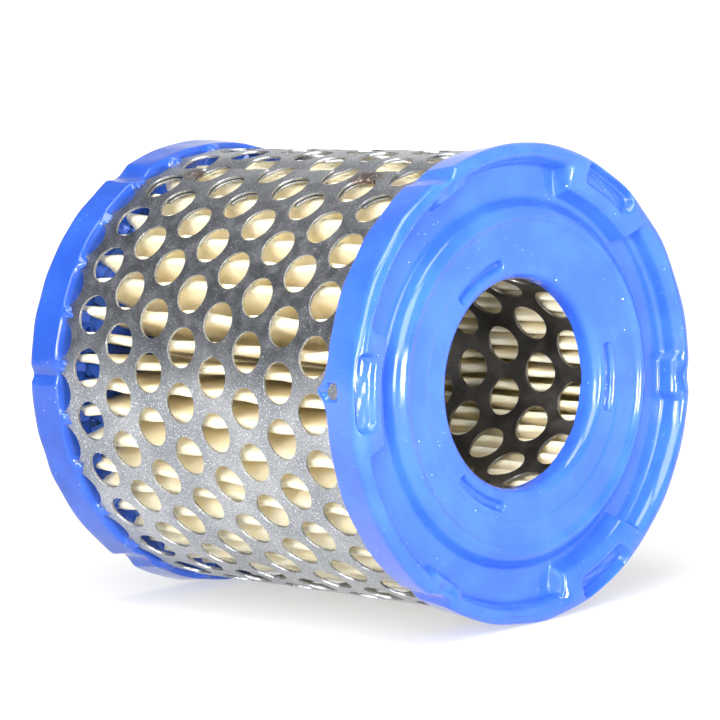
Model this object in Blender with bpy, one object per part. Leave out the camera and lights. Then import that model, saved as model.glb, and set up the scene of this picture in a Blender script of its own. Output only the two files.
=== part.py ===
"""Small-engine air filter cartridge, lying on its side.

The filter's axis is world X, with the front cap at +X. The floor is z = 0, under the middle of the cartridge.
Lengths are written in millimetres and turned into metres by MM. Angles round the axis start at +Y and pass
through +Z, and depths are measured from a cap's outermost face towards the middle of the cartridge.
"""

import math

import bmesh
import bpy
from mathutils import Matrix

MM = 0.001
TURN = math.tau

# Driving dimensions
LENGTH = 113 * MM
CAP_RADIUS = 54 * MM
CAGE_RADIUS = 51.6 * MM
BORE_RADIUS = 23.5 * MM
SHEET = 0.6 * MM
PAPER = 0.5 * MM
CLEARANCE = 0.3 * MM

# Resting flat: the soft rim gives a little under the filter's weight
FLAT_HALF_WIDTH = 6 * MM
AXIS_HEIGHT = math.sqrt(CAP_RADIUS**2 - FLAT_HALF_WIDTH**2)

# Perforation, one pattern on both tubes: rings of round holes, every other ring shifted half a pitch
RING_STEP = 10.95 * MM
HOLE_RADIUS = 4.65 * MM
HOLE_SIDES = 6
HOLE_CORNER_RADIUS = HOLE_RADIUS * math.sqrt(TURN / (HOLE_SIDES * math.sin(TURN / HOLE_SIDES)))
CAGE_HOLES_ROUND = 26
TUBE_HOLES_ROUND = 12
CAGE_PITCH = TURN * CAGE_RADIUS / CAGE_HOLES_ROUND
REAR_TO_FIRST_RING = 8.9 * MM
CAGE_RINGS = 10
TUBE_RINGS = 10
FRONT_TO_LAST_RING = 2.05 * MM
CAGE_HOLE_ANGLE = math.radians(7.9)
TUBE_HOLE_ANGLE = math.radians(27.1)

# Lapped seam of the cage: the outer edge, the lap under it and the step down to it
SEAM_ANGLE = math.radians(109.5)
LAP_ANGLE = math.radians(15)
STEP_ANGLE = math.radians(8)
LAP_DROP = SHEET + CLEARANCE

# How deep the tubes and the paper sit in the caps
CAGE_END_DEPTH = 7 * MM
TUBE_END_DEPTH = 7.5 * MM
TUBE_RADIUS = BORE_RADIUS + SHEET

# Cap face, from the rim inwards
FLOOR_DEPTH = 5.6 * MM
BEAD_DEPTH = 1.2 * MM
LAND_DEPTH = 2.4 * MM
RIM_INNER_RADIUS = 49 * MM
BEAD_OUTER_RADIUS = 41.3 * MM
BEAD_INNER_RADIUS = 36.1 * MM
BORE_EDGE_RADIUS = 24.9 * MM
CORE_RADIUS = CAGE_RADIUS - SHEET - LAP_DROP - 1.4 * CLEARANCE
CAP_STEPS = 48
ARC_STEPS = 5

# The mould's three-fold pattern on each cap, and where it starts
FRONT_PATTERN_ANGLE = math.radians(-5)
REAR_PATTERN_ANGLE = math.radians(-3.5)
MOULD_FOLDS = 3
OVERRUN = 2 * MM

# Pleats
PLEATS = 48
PLEAT_OUTER_RADIUS = CORE_RADIUS
PLEAT_INNER_RADIUS = TUBE_RADIUS + 2 * CLEARANCE
OUTER_FOLD_HALF_WIDTH = 1.0 * MM
INNER_FOLD_HALF_WIDTH = 0.9 * MM
CLIP_PLEAT = 2
CLIP_SHEET = 0.4 * MM
CLIP_LEG = 5 * MM

BLUE_POLYURETHANE = ("blue_polyurethane", (0.02, 0.11, 0.75), 0.3, 0.0)
GALVANISED_SHEET = ("galvanised_sheet", (0.42, 0.43, 0.43), 0.42, 1.0)
TUBE_STEEL = ("tube_steel", (0.16, 0.15, 0.14), 0.45, 1.0)
FILTER_PAPER = ("filter_paper", (0.86, 0.77, 0.58), 0.9, 0.0)
CLIP_STEEL = ("clip_steel", (0.55, 0.55, 0.56), 0.35, 1.0)


def clear_scene():
    for obj in list(bpy.data.objects):
        bpy.data.objects.remove(obj)


def make_material(name, colour, roughness, metallic):
    material = bpy.data.materials.new(name)
    material.use_nodes = True
    shader = material.node_tree.nodes["Principled BSDF"]
    shader.inputs["Base Color"].default_value = (*colour, 1)
    shader.inputs["Roughness"].default_value = roughness
    shader.inputs["Metallic"].default_value = metallic
    return material


def add_object(name, bm, material=None):
    """Turn a bmesh modelled round the X axis into an object on the cartridge's axis."""
    bmesh.ops.recalc_face_normals(bm, faces=bm.faces)
    mesh = bpy.data.meshes.new(name)
    bm.to_mesh(mesh)
    bm.free()
    mesh.shade_smooth()
    mesh.set_sharp_from_angle(angle=math.radians(35))
    obj = bpy.data.objects.new(name, mesh)
    obj.location.z = AXIS_HEIGHT
    bpy.context.collection.objects.link(obj)
    if material:
        mesh.materials.append(material)
    return obj


def on_axis(x, radius, angle):
    return (x, radius * math.cos(angle), radius * math.sin(angle))


def spin_profile(profile, start, sweep, steps):
    """Sweep a closed (x, radius) outline about the X axis; a full turn closes on itself."""
    bm = bmesh.new()
    outline = [bm.verts.new(on_axis(x, radius, start)) for x, radius in profile]
    face = bm.faces.new(outline)
    whole = abs(sweep - TURN) < 1e-6
    bmesh.ops.spin(
        bm,
        geom=[face, *face.edges, *face.verts],
        cent=(0, 0, 0),
        axis=(1, 0, 0),
        angle=sweep,
        steps=steps,
        use_merge=whole,
        use_normal_flip=False,
        use_duplicate=False,
    )
    if whole:
        inside = [f for f in bm.faces if len(f.verts) == len(profile)]
        bmesh.ops.delete(bm, geom=inside, context="FACES_ONLY")
    return bm


# Caps


def outside_outline(wall_depth):
    """The cap's cast face and side wall, as (depth, radius), from the wall's back edge to the bore."""
    shoulder = 1.6 * MM
    rim_crest_radius = CAP_RADIUS - shoulder
    return [
        (wall_depth, CAGE_RADIUS + 0.9 * MM),
        (wall_depth - 1.2 * MM, CAGE_RADIUS + 1.4 * MM),
        (shoulder, CAP_RADIUS),
        (0.3 * shoulder, CAP_RADIUS - 0.3 * shoulder),
        (0, rim_crest_radius),
        (0.3 * MM, rim_crest_radius - 1 * MM),
        (2.4 * MM, RIM_INNER_RADIUS + 0.2 * MM),
        (FLOOR_DEPTH - 1 * MM, RIM_INNER_RADIUS - 0.2 * MM),
        (FLOOR_DEPTH, RIM_INNER_RADIUS - 1.2 * MM),
        (FLOOR_DEPTH, BEAD_OUTER_RADIUS),
        (BEAD_DEPTH + 1 * MM, BEAD_OUTER_RADIUS - 1 * MM),
        (BEAD_DEPTH, BEAD_OUTER_RADIUS - 2.4 * MM),
        (BEAD_DEPTH, BEAD_INNER_RADIUS + 1.4 * MM),
        (LAND_DEPTH, BEAD_INNER_RADIUS),
        (LAND_DEPTH, BORE_EDGE_RADIUS),
        (LAND_DEPTH + 1.4 * MM, BORE_RADIUS),
        (TUBE_END_DEPTH - CLEARANCE, BORE_RADIUS),
    ]


def inside_outline(wall_depth, core_depth):
    """The side that holds the tubes and the paper, as (depth, radius), from the bore to the back edge."""
    tube_clear_radius = TUBE_RADIUS + CLEARANCE
    cage_clear_radius = CAGE_RADIUS + CLEARANCE
    return [
        (TUBE_END_DEPTH - CLEARANCE, tube_clear_radius),
        (core_depth, tube_clear_radius),
        (core_depth, CORE_RADIUS),
        (CAGE_END_DEPTH - CLEARANCE, CORE_RADIUS),
        (CAGE_END_DEPTH - CLEARANCE, cage_clear_radius),
        (wall_depth, cage_clear_radius),
    ]


def depth_to_x(depth, end):
    """World X of a depth below the front face (end = 1) or the rear face (end = -1)."""
    return end * (LENGTH / 2 - depth)


def arc_block(name, depths, radii, middle, half_angle, end):
    """A curved block between two depths and two radii, for a Boolean."""
    near, far = (depth_to_x(depth, end) for depth in depths)
    low, high = radii
    section = [(near, low), (near, high), (far, high), (far, low)]
    bm = spin_profile(section, middle - half_angle, 2 * half_angle, ARC_STEPS)
    return add_object(name, bm)


def channel_rod(name, radius, centre_radius, depths, angle, end):
    """A rod along the side wall between two depths, which cuts a rounded channel."""
    bm = bmesh.new()
    near, far = depths
    bmesh.ops.create_cone(bm, cap_ends=True, segments=10, radius1=radius, radius2=radius, depth=far - near)
    bmesh.ops.rotate(bm, verts=bm.verts, matrix=Matrix.Rotation(math.radians(90), 3, "Y"))
    middle = on_axis(depth_to_x((near + far) / 2, end), centre_radius, angle)
    bmesh.ops.translate(bm, verts=bm.verts, vec=middle)
    return add_object(name, bm)


def resting_flat(name, end):
    """A block below the resting flat."""
    bm = bmesh.new()
    bmesh.ops.create_cube(bm, size=1)
    block_length = 30 * MM
    block_width = 30 * MM
    block_height = 5 * MM
    bmesh.ops.scale(bm, verts=bm.verts, vec=(block_length, block_width, block_height))
    middle = (depth_to_x(0, end), 0, -AXIS_HEIGHT - block_height / 2)
    bmesh.ops.translate(bm, verts=bm.verts, vec=middle)
    return add_object(name, bm)


def apply_boolean(cap, tool, operation):
    modifier = cap.modifiers.new(tool.name, "BOOLEAN")
    modifier.object = tool
    modifier.operation = operation
    modifier.solver = "EXACT"
    tool.hide_render = True
    tool.display_type = "WIRE"


def add_scoop(cap, label, angle, wall_depth, end):
    """A rounded scoop in the rim that runs down the side wall, with the rim's inner wall bulging behind it."""
    rod_radius = 3.3 * MM
    bulge = arc_block(
        f"{label}_bulge",
        (1 * MM, FLOOR_DEPTH + 0.5 * MM),
        (RIM_INNER_RADIUS - 1.4 * MM, RIM_INNER_RADIUS + 2 * MM),
        angle,
        math.radians(6),
        end,
    )
    depths = (-OVERRUN, wall_depth + OVERRUN)
    rod = channel_rod(f"{label}_rod", rod_radius, CAP_RADIUS + 1.6 * MM, depths, angle, end)
    apply_boolean(cap, bulge, "UNION")
    apply_boolean(cap, rod, "DIFFERENCE")


def add_rim_slot(cap, label, angle, wall_depth, pin_depth, end):
    """A widened stretch of rim with an arc-shaped slot in it, and the channel of a locating pin outside it."""
    bulge = arc_block(
        f"{label}_bulge",
        (1.2 * MM, FLOOR_DEPTH + 0.5 * MM),
        (BEAD_OUTER_RADIUS + 1.9 * MM, RIM_INNER_RADIUS + 1.6 * MM),
        angle,
        math.radians(15.5),
        end,
    )
    slot = arc_block(
        f"{label}_slot",
        (-OVERRUN, 2.6 * MM),
        (RIM_INNER_RADIUS - 1.8 * MM, CAP_RADIUS - 1.4 * MM),
        angle,
        math.radians(9.5),
        end,
    )
    depths = (pin_depth, wall_depth + OVERRUN)
    rod = channel_rod(f"{label}_rod", 2.1 * MM, CAP_RADIUS + 0.8 * MM, depths, angle, end)
    apply_boolean(cap, bulge, "UNION")
    apply_boolean(cap, slot, "DIFFERENCE")
    apply_boolean(cap, rod, "DIFFERENCE")


def add_bore_pocket(cap, label, angle, end):
    """The pocket left by a segment of the mould that reached beside the bore."""
    web = 2.8 * MM
    width = 2.8 * MM
    pocket = arc_block(
        label,
        (LAND_DEPTH - OVERRUN, LAND_DEPTH + 3.4 * MM),
        (BORE_RADIUS + web, BORE_RADIUS + web + width),
        angle,
        math.radians(15),
        end,
    )
    apply_boolean(cap, pocket, "DIFFERENCE")


def make_cap(name, end, wall_depth, core_depth, pin_depth, pattern_angle, material):
    outline = outside_outline(wall_depth) + inside_outline(wall_depth, core_depth)
    profile = [(depth_to_x(depth, end), radius) for depth, radius in outline]
    cap = add_object(name, spin_profile(profile, 0, TURN, CAP_STEPS), material)
    for fold in range(MOULD_FOLDS):
        scoop_angle = pattern_angle + TURN * fold / MOULD_FOLDS
        slot_angle = scoop_angle + TURN / (2 * MOULD_FOLDS)
        add_scoop(cap, f"{name}_scoop_{fold}", scoop_angle, wall_depth, end)
        add_rim_slot(cap, f"{name}_rim_slot_{fold}", slot_angle, wall_depth, pin_depth, end)
        add_bore_pocket(cap, f"{name}_bore_pocket_{fold}", scoop_angle, end)
    apply_boolean(cap, resting_flat(f"{name}_resting_flat", end), "DIFFERENCE")
    return cap


# Perforated tubes


def add_cell(bm, across, along, pitch, is_punched):
    """One six-sided cell of flat sheet; its hole has few sides but the open area of the round one."""
    corners = [
        (0.5 * pitch, -RING_STEP / 3),
        (0.5 * pitch, RING_STEP / 3),
        (0, 2 * RING_STEP / 3),
        (-0.5 * pitch, RING_STEP / 3),
        (-0.5 * pitch, -RING_STEP / 3),
        (0, -2 * RING_STEP / 3),
    ]
    hole = []
    for side in range(HOLE_SIDES):
        turn = TURN * (side + 0.5) / HOLE_SIDES
        hole.append((HOLE_CORNER_RADIUS * math.cos(turn), HOLE_CORNER_RADIUS * math.sin(turn)))
    edges = []
    for loop in (corners, hole) if is_punched else (corners,):
        verts = [bm.verts.new((across + u, along + v, 0)) for u, v in loop]
        edges += [bm.edges.new((verts[i - 1], verts[i])) for i in range(len(verts))]
    bmesh.ops.triangle_fill(bm, use_beauty=True, use_dissolve=False, edges=edges, normal=(0, 0, 1))


def flat_sheet(pitch, first_across, columns, first_along, rings, blank_rings=0):
    """Flat sheet with rings of holes; the last few rings can be left blank, as an unpunched margin."""
    bm = bmesh.new()
    for ring in range(rings):
        shift = 0.5 * pitch * (ring % 2)
        for column in range(columns):
            across = first_across + shift + column * pitch
            add_cell(bm, across, first_along + ring * RING_STEP, pitch, ring < rings - blank_rings)
    bmesh.ops.remove_doubles(bm, verts=bm.verts, dist=0.05 * MM)
    return bm


def trim_sheet(bm, point, outward):
    geometry = [*bm.verts, *bm.edges, *bm.faces]
    bmesh.ops.bisect_plane(bm, geom=geometry, dist=1e-6, plane_co=point, plane_no=outward, clear_outer=True)


def roll_sheet(bm, radius, radius_at):
    """Bend the flat sheet: across becomes the angle, along becomes X."""
    for vert in bm.verts:
        angle = vert.co.x / radius
        vert.co = on_axis(vert.co.y, radius_at(angle), angle)
    bmesh.ops.remove_doubles(bm, verts=bm.verts, dist=0.05 * MM)


def thicken(obj, thickness):
    modifier = obj.modifiers.new("sheet_thickness", "SOLIDIFY")
    modifier.thickness = thickness
    modifier.offset = -1
    modifier.use_rim = True
    modifier.use_quality_normals = True


def cage_radius_at(angle):
    """The sheet's outer radius, which steps down before it passes under its own other edge."""
    lap_start = SEAM_ANGLE + TURN
    step_start = lap_start - STEP_ANGLE
    share = min(1, max(0, (angle - step_start) / STEP_ANGLE))
    return CAGE_RADIUS - LAP_DROP * share


def make_outer_cage(material):
    rear_x = -LENGTH / 2 + CAGE_END_DEPTH
    front_x = LENGTH / 2 - CAGE_END_DEPTH
    first_ring_x = -LENGTH / 2 + REAR_TO_FIRST_RING
    columns_before_seam = math.floor((SEAM_ANGLE - CAGE_HOLE_ANGLE) / (TURN / CAGE_HOLES_ROUND))
    # The first ring has a hole half a pitch from the hole angle, so the second, which is shifted, has one at it
    first_across = (CAGE_HOLE_ANGLE * CAGE_RADIUS) + (columns_before_seam - 1.5) * CAGE_PITCH
    columns = CAGE_HOLES_ROUND + 4
    bm = flat_sheet(CAGE_PITCH, first_across, columns, first_ring_x, CAGE_RINGS, blank_rings=1)
    trim_sheet(bm, (0, front_x, 0), (0, 1, 0))
    trim_sheet(bm, (0, rear_x, 0), (0, -1, 0))
    trim_sheet(bm, (SEAM_ANGLE * CAGE_RADIUS, 0, 0), (-1, 0, 0))
    trim_sheet(bm, ((SEAM_ANGLE + TURN + LAP_ANGLE) * CAGE_RADIUS, 0, 0), (1, 0, 0))
    roll_sheet(bm, CAGE_RADIUS, cage_radius_at)
    cage = add_object("outer_cage", bm, material)
    thicken(cage, SHEET)
    return cage


def make_inner_tube(material):
    front_x = LENGTH / 2 - TUBE_END_DEPTH
    first_ring_x = front_x - FRONT_TO_LAST_RING - (TUBE_RINGS - 1) * RING_STEP
    pitch = TURN * TUBE_RADIUS / TUBE_HOLES_ROUND
    bm = flat_sheet(pitch, TUBE_HOLE_ANGLE * TUBE_RADIUS, TUBE_HOLES_ROUND, first_ring_x, TUBE_RINGS)
    trim_sheet(bm, (0, front_x, 0), (0, 1, 0))
    trim_sheet(bm, (0, -front_x, 0), (0, -1, 0))
    roll_sheet(bm, TUBE_RADIUS, lambda angle: TUBE_RADIUS)
    tube = add_object("inner_tube", bm, material)
    thicken(tube, SHEET)
    return tube


# Paper


def pleat_outlines():
    """Both faces of the folded paper, as (radius, angle) points in the same order round the filter."""
    outer_face = []
    inner_face = []
    step = TURN / PLEATS
    for pleat in range(PLEATS):
        ridge = step * pleat
        valley = ridge + step / 2
        for side in (-1, 1):
            half = OUTER_FOLD_HALF_WIDTH / PLEAT_OUTER_RADIUS
            thin_half = (OUTER_FOLD_HALF_WIDTH - PAPER) / PLEAT_OUTER_RADIUS
            outer_face.append((PLEAT_OUTER_RADIUS, ridge + side * half))
            inner_face.append((PLEAT_OUTER_RADIUS - PAPER, ridge + side * thin_half))
        for side in (-1, 1):
            half = INNER_FOLD_HALF_WIDTH / PLEAT_INNER_RADIUS
            thin_half = (INNER_FOLD_HALF_WIDTH - PAPER) / PLEAT_INNER_RADIUS
            outer_face.append((PLEAT_INNER_RADIUS + PAPER, valley + side * thin_half))
            inner_face.append((PLEAT_INNER_RADIUS, valley + side * half))
    return outer_face, inner_face


def make_pleated_paper(rear_x, front_x, material):
    bm = bmesh.new()
    outlines = pleat_outlines()
    start_rings = []
    for outline in outlines:
        start_rings.append([bm.verts.new(on_axis(rear_x, radius, angle)) for radius, angle in outline])
    outer_ring, inner_ring = start_rings
    for i in range(len(outer_ring)):
        bm.faces.new((outer_ring[i - 1], outer_ring[i], inner_ring[i], inner_ring[i - 1]))
    grown = bmesh.ops.extrude_face_region(bm, geom=list(bm.faces), use_keep_orig=True)
    moved = [item for item in grown["geom"] if isinstance(item, bmesh.types.BMVert)]
    bmesh.ops.translate(bm, verts=moved, vec=(front_x - rear_x, 0, 0))
    return add_object("pleated_paper", bm, material)


def make_seam_clip(rear_x, front_x, material):
    """A folded strip over the outer fold of one pleat, where the paper's two ends meet."""
    inside_half = OUTER_FOLD_HALF_WIDTH + 1.8 * CLEARANCE
    outside_half = inside_half + CLIP_SHEET
    back_inside = PLEAT_OUTER_RADIUS + CLEARANCE
    back_outside = back_inside + CLIP_SHEET
    leg_end = back_inside - CLIP_LEG
    section = [
        (leg_end, -outside_half),
        (back_outside, -outside_half),
        (back_outside, outside_half),
        (leg_end, outside_half),
        (leg_end, inside_half),
        (back_inside, inside_half),
        (back_inside, -inside_half),
        (leg_end, -inside_half),
    ]
    bm = bmesh.new()
    face = bm.faces.new([bm.verts.new((rear_x, radial, across)) for radial, across in section])
    grown = bmesh.ops.extrude_face_region(bm, geom=[face], use_keep_orig=True)
    moved = [item for item in grown["geom"] if isinstance(item, bmesh.types.BMVert)]
    bmesh.ops.translate(bm, verts=moved, vec=(front_x - rear_x, 0, 0))
    turn = Matrix.Rotation(TURN * CLIP_PLEAT / PLEATS, 3, "X")
    bmesh.ops.rotate(bm, verts=bm.verts, matrix=turn)
    return add_object("pleat_seam_clip", bm, material)


def make_filter():
    front_core_depth = 8.8 * MM
    rear_core_depth = 12.5 * MM
    blue = make_material(*BLUE_POLYURETHANE)
    front_pin_depth = 7.2 * MM
    rear_pin_depth = -OVERRUN
    make_cap("front_end_cap", 1, 12.6 * MM, front_core_depth, front_pin_depth, FRONT_PATTERN_ANGLE, blue)
    make_cap("rear_end_cap", -1, 11.4 * MM, rear_core_depth, rear_pin_depth, REAR_PATTERN_ANGLE, blue)
    make_outer_cage(make_material(*GALVANISED_SHEET))
    make_inner_tube(make_material(*TUBE_STEEL))
    paper_rear = -LENGTH / 2 + rear_core_depth + CLEARANCE
    paper_front = LENGTH / 2 - front_core_depth - CLEARANCE
    make_pleated_paper(paper_rear, paper_front, make_material(*FILTER_PAPER))
    make_seam_clip(paper_rear, paper_front, make_material(*CLIP_STEEL))


clear_scene()
make_filter()
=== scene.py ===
"""Looks of a small-engine air filter cartridge: blue cast end caps, perforated steel tubes, pleated paper.

The filter's axis runs along X with the front cap at +X. Angles round the axis start at +Y and pass through
+Z. A depth is measured from a cap's outermost face towards the middle of the cartridge.
"""

import math
from typing import NamedTuple

import bmesh
import bpy
import numpy as np
from mathutils import Matrix, Vector


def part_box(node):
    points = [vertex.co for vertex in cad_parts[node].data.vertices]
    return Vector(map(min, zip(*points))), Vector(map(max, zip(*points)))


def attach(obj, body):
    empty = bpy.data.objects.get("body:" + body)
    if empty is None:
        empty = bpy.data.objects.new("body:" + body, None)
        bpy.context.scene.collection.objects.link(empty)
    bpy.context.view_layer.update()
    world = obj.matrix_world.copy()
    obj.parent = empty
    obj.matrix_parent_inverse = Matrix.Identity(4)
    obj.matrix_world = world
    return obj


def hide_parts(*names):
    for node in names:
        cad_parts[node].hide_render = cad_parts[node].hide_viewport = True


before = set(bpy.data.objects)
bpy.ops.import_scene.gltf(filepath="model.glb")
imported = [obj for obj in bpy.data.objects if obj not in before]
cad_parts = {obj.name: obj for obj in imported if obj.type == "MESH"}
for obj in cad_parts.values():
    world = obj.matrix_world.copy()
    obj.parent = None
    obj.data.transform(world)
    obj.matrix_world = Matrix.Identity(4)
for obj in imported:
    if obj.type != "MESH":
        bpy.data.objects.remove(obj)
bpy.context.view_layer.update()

MM = 0.001
TURN = math.tau


class Recess(NamedTuple):
    """An arc-shaped recess with rounded ends; soft is the width of its sloping edge."""

    radius: float
    half_width: float
    half_angle: float
    rounding: float
    soft: float


# Sizes read from the frame
CAP_LOW, CAP_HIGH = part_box("front_end_cap")
CAGE_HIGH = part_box("outer_cage")[1]
TUBE_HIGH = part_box("inner_tube")[1]
HALF_LENGTH = CAP_HIGH[0]
CAP_RADIUS = (CAP_HIGH[1] - CAP_LOW[1]) / 2
AXIS_HEIGHT = CAP_HIGH[2] - CAP_RADIUS
CAGE_RADIUS = CAGE_HIGH[2] - AXIS_HEIGHT
TUBE_RADIUS = TUBE_HIGH[2] - AXIS_HEIGHT
CAGE_END_DEPTH = HALF_LENGTH - CAGE_HIGH[0]
TUBE_END_DEPTH = HALF_LENGTH - TUBE_HIGH[0]

# Sheet and perforation
SHEET = 0.6 * MM
RING_STEP = 10.95 * MM
HOLE_RADIUS = 4.65 * MM
HOLE_EDGE = 0.14 * MM
SEGMENTS_PER_CELL_SIDE = 6
CAGE_HOLES_ROUND = 26
TUBE_HOLES_ROUND = 12
CAGE_FIRST_RING_DEPTH = 8.9 * MM
CAGE_RINGS = 10
CAGE_HOLE_ANGLE = math.radians(7.9)
TUBE_RINGS = 10
TUBE_LAST_RING_FROM_END = 2.05 * MM
TUBE_HOLE_ANGLE = math.radians(27.1)
SEAM_ANGLE = math.radians(109.5)
LAP_ANGLE = math.radians(15)
STEP_ANGLE = math.radians(8)
LAP_DROP = SHEET + 0.3 * MM
WELD_ANGLE = math.radians(113)
WELD_DEPTHS_FROM_REAR = (24.6 * MM, 82.5 * MM, 85.9 * MM)

# Cap face, from the rim inwards
SHOULDER_DEPTH = 1.3 * MM
CREST_RADIUS = CAP_RADIUS - 2.7 * MM
FLOOR_DEPTH = 5.6 * MM
BEAD_DEPTH = 1.2 * MM
LAND_DEPTH = 2.4 * MM
RIM_INNER_RADIUS = 48.8 * MM
BEAD_OUTER_RADIUS = 41.3 * MM
BEAD_INNER_RADIUS = 36.1 * MM
LAND_STEP_RADIUS = 30.8 * MM
BORE_RADIUS = TUBE_RADIUS - SHEET
OUTLINE_SPACING = 0.4 * MM

# The mould's three-fold pattern: scoops with a pocket beside the bore, and slots half way between them
MOULD_FOLDS = 3
FRONT_PATTERN_ANGLE = math.radians(-5)
REAR_PATTERN_ANGLE = math.radians(-3.5)
SCOOP_BULGE_HALF_ANGLE = math.radians(5.5)
SLOT_BULGE_HALF_ANGLE = math.radians(15.5)
SLOT = Recess(50.4 * MM, 3.2 * MM, math.radians(10), 2.6 * MM, 1.3 * MM)
SLOT_INNER_DEPTH = 1.2 * MM
SLOT_FALL = 0.38
POCKET = Recess(27.7 * MM, 1.4 * MM, math.radians(16.5), 1.3 * MM, 0.6 * MM)
POCKET_LIP = Recess(27.7 * MM, 1.9 * MM, math.radians(17), 1.8 * MM, 0.5 * MM)
POCKET_TURN = math.radians(1.5)
POCKET_DEPTH = 1.9 * MM
POCKET_LIP_HEIGHT = 0.16 * MM
SCOOP_ROD_RADIUS = 3.9 * MM
SCOOP_ROD_CENTRE = CAP_RADIUS + 2.3 * MM
BOWL_RADIUS = 4.4 * MM
BOWL_DEPTH = 1.6 * MM

# How far the caps reach over the cage, and how thick their cores are
FRONT_WALL_DEPTH = 12.4 * MM
FRONT_CORE_DEPTH = 8.8 * MM
REAR_WALL_DEPTH = 10.4 * MM
REAR_CORE_DEPTH = 12.6 * MM

# Front cap: windows left by the pins that held the cage in the mould, each with a thin tip past the wall
PIN_DEPTH = 7.1 * MM
PIN_LENGTH = 3.8 * MM
PIN_RADIUS = 2.05 * MM
TIP_LENGTH = 3.7 * MM
TIP_WIDTH = 2.2 * MM
WALL_EDGE_START = 6 * MM

# Rear cap: channels in the side wall, and drops that sank into the half-covered holes; as a turn, half the
# way from one hole to the next is pi
CHANNEL_ROD_RADIUS = 2.1 * MM
CHANNEL_ROD_CENTRE = CAP_RADIUS + 0.9 * MM
DROP_HALF_TURN = 2.5
DROP_SINK = 4.4 * MM
DROP_SETBACK = 1.4 * MM

# Paper
PLEATS = 48
PAPER = 0.5 * MM
PLEAT_OUTER_RADIUS = 49.0 * MM
PLEAT_INNER_RADIUS = TUBE_RADIUS + 0.9 * MM
OUTER_FOLD = 0.75 * MM
INNER_FOLD = 0.6 * MM
CLIP_PLEAT = 2


# Small helpers


def smoothstep(x):
    x = np.clip(x, 0, 1)
    return x * x * (3 - 2 * x)


def plateau(x, half, soft):
    """1 within half of zero and 0 beyond it, with a soft shoulder."""
    return smoothstep((half + soft / 2 - np.abs(x)) / soft)


def turn_between(angles, centre):
    """Signed turn from centre to each angle, between minus half a turn and half a turn."""
    return (angles - centre + math.pi) % TURN - math.pi


def ripple(angles, seed, lowest=2, count=9):
    """A smooth wander round the circle, about -1 to 1, the same on every run."""
    rng = np.random.default_rng(seed)
    total = np.zeros_like(angles)
    for number in range(lowest, lowest + count):
        total = total + rng.normal() * np.sin(number * angles + rng.uniform(0, TURN)) / math.sqrt(count)
    return total


def wander(across, along, seed, scale, count=10):
    """A smooth wander over a surface, about -1 to 1; scale is the size of its features."""
    rng = np.random.default_rng(seed)
    total = np.zeros(np.broadcast(across, along).shape)
    for _ in range(count):
        heading = rng.uniform(0, TURN)
        wave = rng.uniform(0.6, 1.6) * TURN / scale
        phase = rng.uniform(0, TURN)
        total = total + np.sin(wave * (across * math.cos(heading) + along * math.sin(heading)) + phase)
    return total / math.sqrt(count)


def add_piece(name, mesh, material, slot, *replaced):
    mesh.materials.append(material)
    obj = bpy.data.objects.new(name, mesh)
    bpy.context.collection.objects.link(obj)
    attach(obj, "root")
    if replaced:
        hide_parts(*replaced)
    return obj


def mesh_from_grid(name, points):
    """A closed skin over a grid of points that wraps round both ways."""
    rows, columns = points.shape[:2]
    row = np.arange(rows)[:, None]
    column = np.arange(columns)[None, :]
    next_row = (row + 1) % rows
    next_column = (column + 1) % columns
    corners = [
        row * columns + column,
        next_row * columns + column,
        next_row * columns + next_column,
        row * columns + next_column,
    ]
    faces = np.stack([np.broadcast_to(c, (rows, columns)) for c in corners], axis=-1).reshape(-1, 4)
    mesh = bpy.data.meshes.new(name)
    mesh.from_pydata(points.reshape(-1, 3).tolist(), [], faces.tolist())
    bm = bmesh.new()
    bm.from_mesh(mesh)
    bmesh.ops.recalc_face_normals(bm, faces=bm.faces)
    bm.to_mesh(mesh)
    bm.free()
    mesh.shade_smooth()
    return mesh


# Cap shape


def knots_along(corners):
    """Points along a line through (radius, depth, rounding) corners, six of them round each corner."""
    points = [np.array(corners[0][:2])]
    for before, here, after in zip(corners, corners[1:], corners[2:]):
        corner = np.array(here[:2])
        back = np.array(before[:2]) - corner
        ahead = np.array(after[:2]) - corner
        reach = min(here[2], 0.48 * np.linalg.norm(back), 0.48 * np.linalg.norm(ahead))
        start = corner + back / np.linalg.norm(back) * reach
        end = corner + ahead / np.linalg.norm(ahead) * reach
        for share in np.linspace(0, 1, 6):
            points.append((1 - share) ** 2 * start + 2 * share * (1 - share) * corner + share**2 * end)
    points.append(np.array(corners[-1][:2]))
    return np.array(points)


def matched_outlines(corner_lists, spacing):
    """Outlines through several corner lists, divided alike so that they can be blended point by point."""
    knots = np.array([knots_along(corners) for corners in corner_lists])
    gaps = np.linalg.norm(np.diff(knots, axis=1), axis=2).max(axis=0)
    pieces = [knots[:, :1]]
    for i, gap in enumerate(gaps):
        steps = max(1, math.ceil(gap / spacing))
        shares = np.arange(1, steps + 1)[None, :, None] / steps
        start = knots[:, i : i + 1]
        end = knots[:, i + 1 : i + 2]
        pieces.append(start + (end - start) * shares)
    return np.concatenate(pieces, axis=1)


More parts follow.
